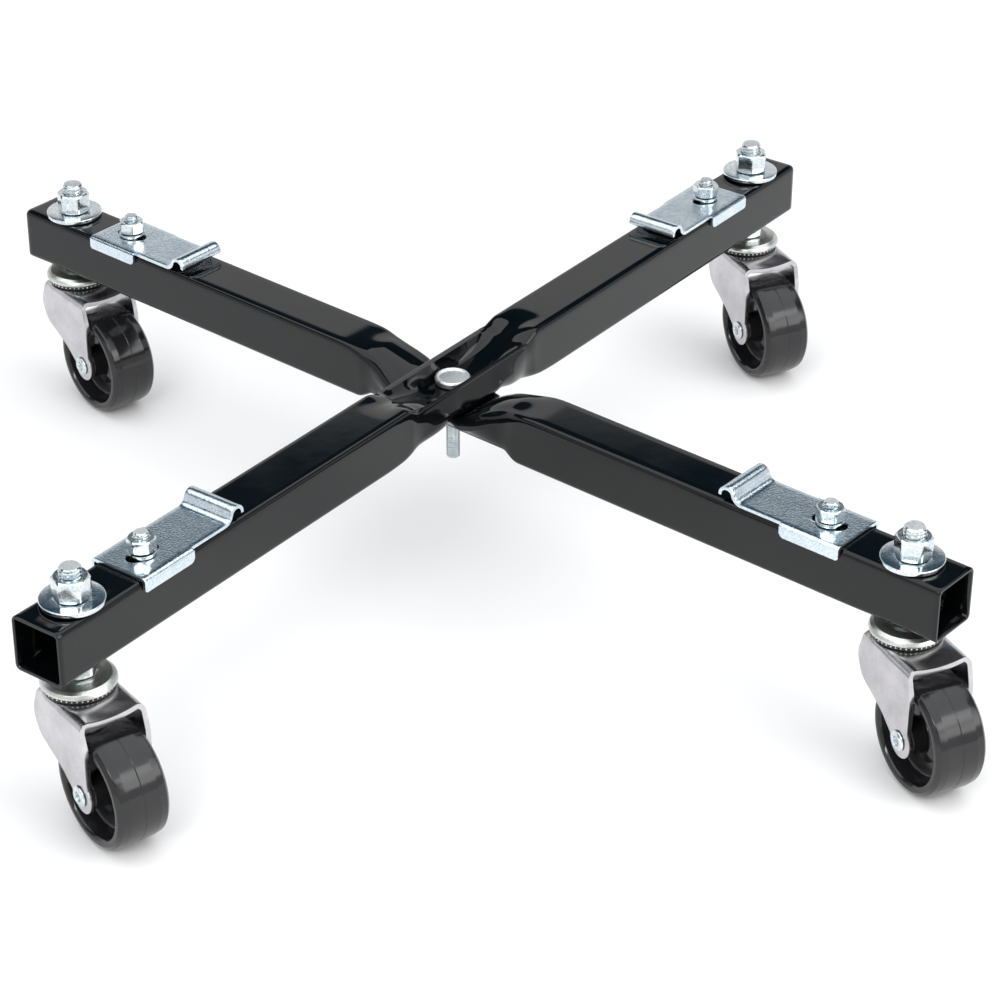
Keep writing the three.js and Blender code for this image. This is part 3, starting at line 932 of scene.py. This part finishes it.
def clip_form():
    """The whole clip as one sheet: the plate and its hook, and a flange bent down at each side."""
    inner_end = CLIP_OUTER_END - FLANGE_LENGTH
    base = GAP + CLIP_SHEET / 2
    beside_flange = [(x, base) for x in spaced(CLIP_OUTER_END, inner_end, 30)]
    line = beside_flange + [(x, z) for x, z in clip_line() if x < inner_end - 0.3]
    form = Form()
    form.grid([[(x, y, z) for y in spaced(-HALF, HALF, 12)] for x, z in line])
    for side in (-1, 1):
        rows = []
        for x, _ in beside_flange:
            end = min(CLIP_OUTER_END - x, x - inner_end)
            rounding = 1.8 if x < 0 else 0.9
            foot = FLANGE_FOOT + rounding * (1 - math.sqrt(min(end / rounding, 1)))
            bend = arc(HALF, base - FLANGE_BEND, FLANGE_BEND, FLANGE_BEND, 90, 0, 5)
            down = [(HALF + FLANGE_SIDE, z) for z in spaced(base - FLANGE_BEND, foot, 5)[1:]]
            skin = [(min(y, HALF + FLANGE_SIDE), z) for y, z in bend] + down
            rows.append([(x, side * y, z) for y, z in skin])
        form.grid(rows)
    return form


def solid_sheet(form, name, placement, material, thickness, bevel, cutter=None, offset=0.0, sharp=32):
    """A thin sheet given its thickness, cut if asked, and its edges broken."""
    made = piece(name, form, Matrix.Identity(4), material, sharp)
    solid = made.modifiers.new("sheet", "SOLIDIFY")
    solid.thickness = thickness * MM
    solid.offset = offset
    if cutter:
        cut = made.modifiers.new("cut", "BOOLEAN")
        cut.operation = "DIFFERENCE"
        cut.solver = "EXACT"
        cut.object = cutter
    edge = made.modifiers.new("edge", "BEVEL")
    edge.width = bevel * MM
    edge.segments = 3
    edge.limit_method = "ANGLE"
    edge.angle_limit = math.radians(50)
    bpy.context.view_layer.update()
    ready = made.evaluated_get(bpy.context.evaluated_depsgraph_get())
    mesh = bpy.data.meshes.new_from_object(ready)
    mesh.transform(Matrix.Scale(MM, 4) @ placement @ Matrix.Scale(1 / MM, 4))
    mesh.shade_smooth()
    mesh.set_sharp_from_angle(angle=math.radians(sharp))
    made.modifiers.clear()
    made.data = mesh
    return made


def slot_cutter():
    """A round-ended bar that cuts the slot out of a clip."""
    straight = SLOT_HALF_LENGTH - SLOT_HALF_WIDTH
    outline = arc(straight, 0, SLOT_HALF_WIDTH, SLOT_HALF_WIDTH, -90, 90, 16)
    outline += arc(-straight, 0, SLOT_HALF_WIDTH, SLOT_HALF_WIDTH, 90, 270, 16)
    form = Form().grid([[(x, y, z) for x, y in outline] for z in (-3, 5)], closed_columns=True)
    form.cap([(x, y, -3) for x, y in outline], flip=True)
    form.cap([(x, y, 5) for x, y in outline])
    return piece("slot_cutter", form, Matrix.Identity(4), SHEET)


# ---------------------------------------------------------------- assembly


def angle_of(arm):
    """The direction of an arm, in degrees about the vertical."""
    axis = JOINTS["clip_slide_" + arm]["axis"]
    return math.degrees(math.atan2(axis[1], axis[0]))


def add_piece(name, form, placement, material, node, body, sharp_degrees=32):
    made = piece(name, form, placement, material, sharp_degrees)
    stand_for(made, node, body)


def add_fastener(name, form, placement, node, body, sharp_degrees=32):
    add_piece(name, form, placement, FASTENER, node, body, sharp_degrees)


def add_frosted(name, form, placement, node, body):
    add_piece(name, form, placement, FROSTED, node, body)


def add_crossbars():
    dimple_at = (joint_at("caster_swivel_back_right").xy - PIVOT.xy).length
    form = crossbar(UPPER_PRESS, dimple_at)
    placement = place_at(PIVOT.x, PIVOT.y, UPPER_TOP, angle_of("back_right"))
    add_piece(
        "upper_crossbar_pressed", form, placement, PAINT, "upper_crossbar", UPPER_BODY, 40
    )

    # The lower crossbar is the same tube turned over.
    form = crossbar(LOWER_PRESS, dimple_at)
    placement = place_at(PIVOT.x, PIVOT.y, LOWER_TOP - TUBE, angle_of("back_left"))
    placement = placement @ Matrix.Rotation(math.pi, 4, "X")
    add_piece(
        "lower_crossbar_pressed", form, placement, PAINT, "lower_crossbar", LOWER_BODY, 40
    )


def add_centre_bolt():
    """The carriage bolt, whose threaded end points down, with its washer and nut."""
    centre = place_at(PIVOT.x, PIVOT.y, 0, angle_of("back_right"))
    low, high = span_of("centre_bolt")
    seat = high - HEAD_HEIGHT
    bolt = rod_form(THREAD_SMALL - 0.1, low + CENTRE_THREAD - 2, seat + 0.5)
    flip = Matrix.Translation((0, 0, low + CENTRE_THREAD)) @ Matrix.Rotation(math.pi, 4, "X")
    bolt.add(thread_form(THREAD_SMALL, PITCH_SMALL, 0, CENTRE_THREAD, 0.5), flip)
    bolt.add(cut_end_form(THREAD_SMALL - 0.5, CENTRE_THREAD - END_DOME), flip)
    add_fastener("centre_bolt_threaded", bolt, centre, "centre_bolt", UPPER_BODY)
    head = carriage_head_form(seat, high, HEAD_RADIUS)
    add_frosted("centre_bolt_head", head, centre, "centre_bolt", UPPER_BODY)

    washer = washer_form(THREAD_SMALL + GAP, CENTRE_WASHER, *span_of("centre_washer"))
    add_fastener("centre_washer_flat", washer, centre, "centre_washer", UPPER_BODY)
    nut = hex_form(FLATS_SMALL, *span_of("centre_nut"), THREAD_SMALL + NUT_CLEARANCE)
    add_fastener("centre_nut_hex", nut, centre, "centre_nut", UPPER_BODY)


def race_rim(arm):
    return bottom_of("upper_race_" + arm) + RACE_LIFT


def add_stem(arm, body, tube_top):
    """What the caster hangs by: the stem, the race under its collar, and the washer and nut above."""
    at = joint_at("caster_swivel_" + arm)
    fixed = place_at(at.x, at.y, 0, angle_of(arm))
    node = "caster_stem_" + arm
    low, high = span_of(node)
    collar = top_of("upper_race_" + arm) + GAP
    thread_start = tube_top + 6
    stem = hex_form(FLATS_STEM, collar, tube_top - TUBE - GAP, NEAR_AXIS)
    stem.add(rod_form(THREAD_STEM - 0.2, collar + 1, thread_start + 1))
    stem.add(thread_form(THREAD_STEM, PITCH_STEM, thread_start, high - END_DOME, 0.9))
    stem.add(rod_form(KINGPIN_RADIUS, low + 1, collar + 1))
    kingpin_head = [
        (NEAR_AXIS, low),
        (KINGPIN_HEAD, low),
        (KINGPIN_HEAD, low + 2),
        (NEAR_AXIS, low + 2),
    ]
    stem.add(Form().lathe(rounded(kingpin_head, 0.9, 4), 40))
    add_fastener("caster_stem_threaded_" + arm, stem, fixed, node, body)
    cut_end = cut_end_form(THREAD_STEM - 0.9, high - END_DOME)
    add_frosted("caster_stem_end_" + arm, cut_end, fixed, node, body)

    node = "upper_race_" + arm
    race = race_form(race_rim(arm), top_of(node), RACE_HOLE)
    add_piece("upper_race_pressed_" + arm, race, fixed, RACE_ZINC, node, body)

    node = "stem_washer_" + arm
    washer = washer_form(STEM_WASHER_HOLE, STEM_WASHER, *span_of(node), 0.5)
    add_fastener("stem_washer_flat_" + arm, washer, fixed, node, body)

    node = "stem_nut_" + arm
    nut = hex_form(FLATS_STEM, *span_of(node), THREAD_STEM + NUT_CLEARANCE)
    turned = place_at(at.x, at.y, 0, NUT_TURNS[arm][0])
    add_fastener("stem_nut_hex_" + arm, nut, turned, node, body, 22)


def add_caster(arm):
    """What swivels under the race: the balls, their retainer, the fork and the rivet, and the wheel."""
    swivel = joint_at("caster_swivel_" + arm)
    axle_at = joint_at("wheel_spin_" + arm)
    trail_angle = math.degrees(math.atan2(axle_at.y - swivel.y, axle_at.x - swivel.x))
    turning = place_at(swivel.x, swivel.y, 0, trail_angle)
    axle = place_at(axle_at.x, axle_at.y, axle_at.z, trail_angle)
    body = "caster_" + arm

    node = "ball_ring_" + arm
    low = bottom_of(node) - 0.1
    rim = race_rim(arm)
    balls = ball_ring_form((low + rim) / 2)
    add_piece("ball_ring_steel_" + arm, balls, turning, BALL_STEEL, node, body)
    # The retainer's near-black colour is painted shade for the gap between the race and the fork.
    retainer = washer_form(RETAINER_HOLE, RETAINER_RADIUS, low, rim - 0.15, 0.3)
    add_piece("ball_retainer_painted_shade_" + arm, retainer, turning, RETAINER_SHADE, node, body)

    name = "fork_stamped_" + arm
    fork = solid_sheet(fork_form(), name, turning, FORK_ZINC, FORK_SHEET, 0.8, offset=-1.0, sharp=45)
    stand_for(fork, "fork_" + arm, body)

    add_fastener("axle_rivet_rolled_" + arm, rivet_form(), axle, "axle_rivet_" + arm, body)
    name = "wheel_moulded_" + arm
    add_piece(name, wheel_form(), axle, PLASTIC, "wheel_" + arm, "wheel_" + arm, 28)


def add_clip(arm, body, tube_top, cutter):
    """The clip, which slides along its tube, and the bolt, lock washer and nut that stay in place."""
    at = middle_of("clip_bolt_" + arm)
    on_tube = place_at(at.x, at.y, tube_top, angle_of(arm))
    name = "rim_clip_rolled_" + arm
    clip = solid_sheet(clip_form(), name, on_tube, SHEET, CLIP_SHEET, 0.22, cutter)
    stand_for(clip, "rim_clip_" + arm, "rim_clip_" + arm)

    node = "clip_bolt_" + arm
    low, high = bottom_of(node) - tube_top, top_of(node) - tube_top
    thread_start = high - CLIP_BOLT_THREAD
    bolt = hex_form(FLATS_SMALL, low, low + CLIP_BOLT_HEAD, NEAR_AXIS, chamfer_top=False)
    bolt.add(rod_form(THREAD_SMALL - 0.1, low + 3, thread_start + 1))
    bolt.add(thread_form(THREAD_SMALL, PITCH_SMALL, thread_start, high - END_DOME, 0.6))
    add_fastener("clip_bolt_threaded_" + arm, bolt, on_tube, node, body)
    cut_end = cut_end_form(THREAD_SMALL - 0.6, high - END_DOME)
    add_frosted("clip_bolt_end_" + arm, cut_end, on_tube, node, body)

    node = "lock_washer_" + arm
    low = bottom_of(node) - tube_top
    washer = split_washer_form(LOCK_WASHER_HOLE, LOCK_WASHER, low, LOCK_WASHER_THICK)
    add_fastener("lock_washer_split_" + arm, washer, on_tube, node, body)

    node = "clip_nut_" + arm
    nut = hex_form(FLATS_SMALL, *span_of(node), THREAD_SMALL + NUT_CLEARANCE)
    turned = place_at(at.x, at.y, 0, NUT_TURNS[arm][1])
    add_fastener("clip_nut_hex_" + arm, nut, turned, node, body, 22)


add_crossbars()
add_centre_bolt()
slot = slot_cutter()
for arm in ARM_NAMES:
    upper = arm in UPPER_ARMS
    frame_body = UPPER_BODY if upper else LOWER_BODY
    tube_top = UPPER_TOP if upper else LOWER_TOP
    add_stem(arm, frame_body, tube_top)
    add_caster(arm)
    add_clip(arm, frame_body, tube_top, slot)
bpy.data.objects.remove(slot)

# ---------------------------------------------------------------- stage, light and camera

floor_form = Form().grid([[(x, y, 0) for x in spaced(-6000, 6000, 8)] for y in spaced(-6000, 6000, 8)])
floor = piece("floor", floor_form, Matrix.Translation((0, 0, -0.2)), floor_paper())


def softbox(name, at, size, power):
    """A rectangular light that faces the middle of the floor, in metres and watts."""
    light = bpy.data.lights.new(name, "AREA")
    light.shape = "RECTANGLE"
    light.size, light.size_y = size
    light.energy = power
    lamp = bpy.data.objects.new(name, light)
    lamp.location = at
    lamp.rotation_euler = (-Vector(at)).to_track_quat("-Z", "Y").to_euler()
    bpy.context.scene.collection.objects.link(lamp)


softbox("overhead", at=(0, -0.3, 1.6), size=(3.6, 2.8), power=54)
softbox("right", at=(1.38, -1.04, 1.0), size=(1.6, 1.05), power=15)
softbox("key", at=(-0.9, -1.7, 1.5), size=(0.9, 0.35), power=9)

world = bpy.data.worlds.new("studio")
world.use_nodes = True
sky = world.node_tree
where = sky.nodes.new("ShaderNodeTexCoord")
split = sky.nodes.new("ShaderNodeSeparateXYZ")
shade = sky.nodes.new("ShaderNodeValToRGB")
# A white sweep rises to this height, with a dark ceiling above it.
shade.color_ramp.elements[0].position = SWEEP_TOP
shade.color_ramp.elements[0].color = (0.86, 0.86, 0.87, 1)
shade.color_ramp.elements[1].position = SWEEP_TOP + SWEEP_BLEND
shade.color_ramp.elements[1].color = (0.02, 0.06, 0.09, 1)
sky.links.new(where.outputs["Generated"], split.inputs["Vector"])
sky.links.new(split.outputs["Z"], shade.inputs["Fac"])
sky.links.new(shade.outputs["Color"], sky.nodes["Background"].inputs["Color"])
bpy.context.scene.world = world
bpy.context.scene.view_settings.view_transform = "Standard"

camera_data = bpy.data.cameras.new("camera")
camera_data.sensor_width = 36
camera_data.lens = CAMERA_LENS
camera = bpy.data.objects.new("camera", camera_data)
camera.matrix_world = (
    Matrix.Translation(CAMERA_AT)
    @ Matrix.Rotation(-math.radians(CAMERA_YAW), 4, "Z")
    @ Matrix.Rotation(math.radians(90 - CAMERA_PITCH), 4, "X")
    @ Matrix.Rotation(-math.radians(CAMERA_ROLL), 4, "Z")
)
bpy.context.scene.collection.objects.link(camera)
bpy.context.scene.camera = camera
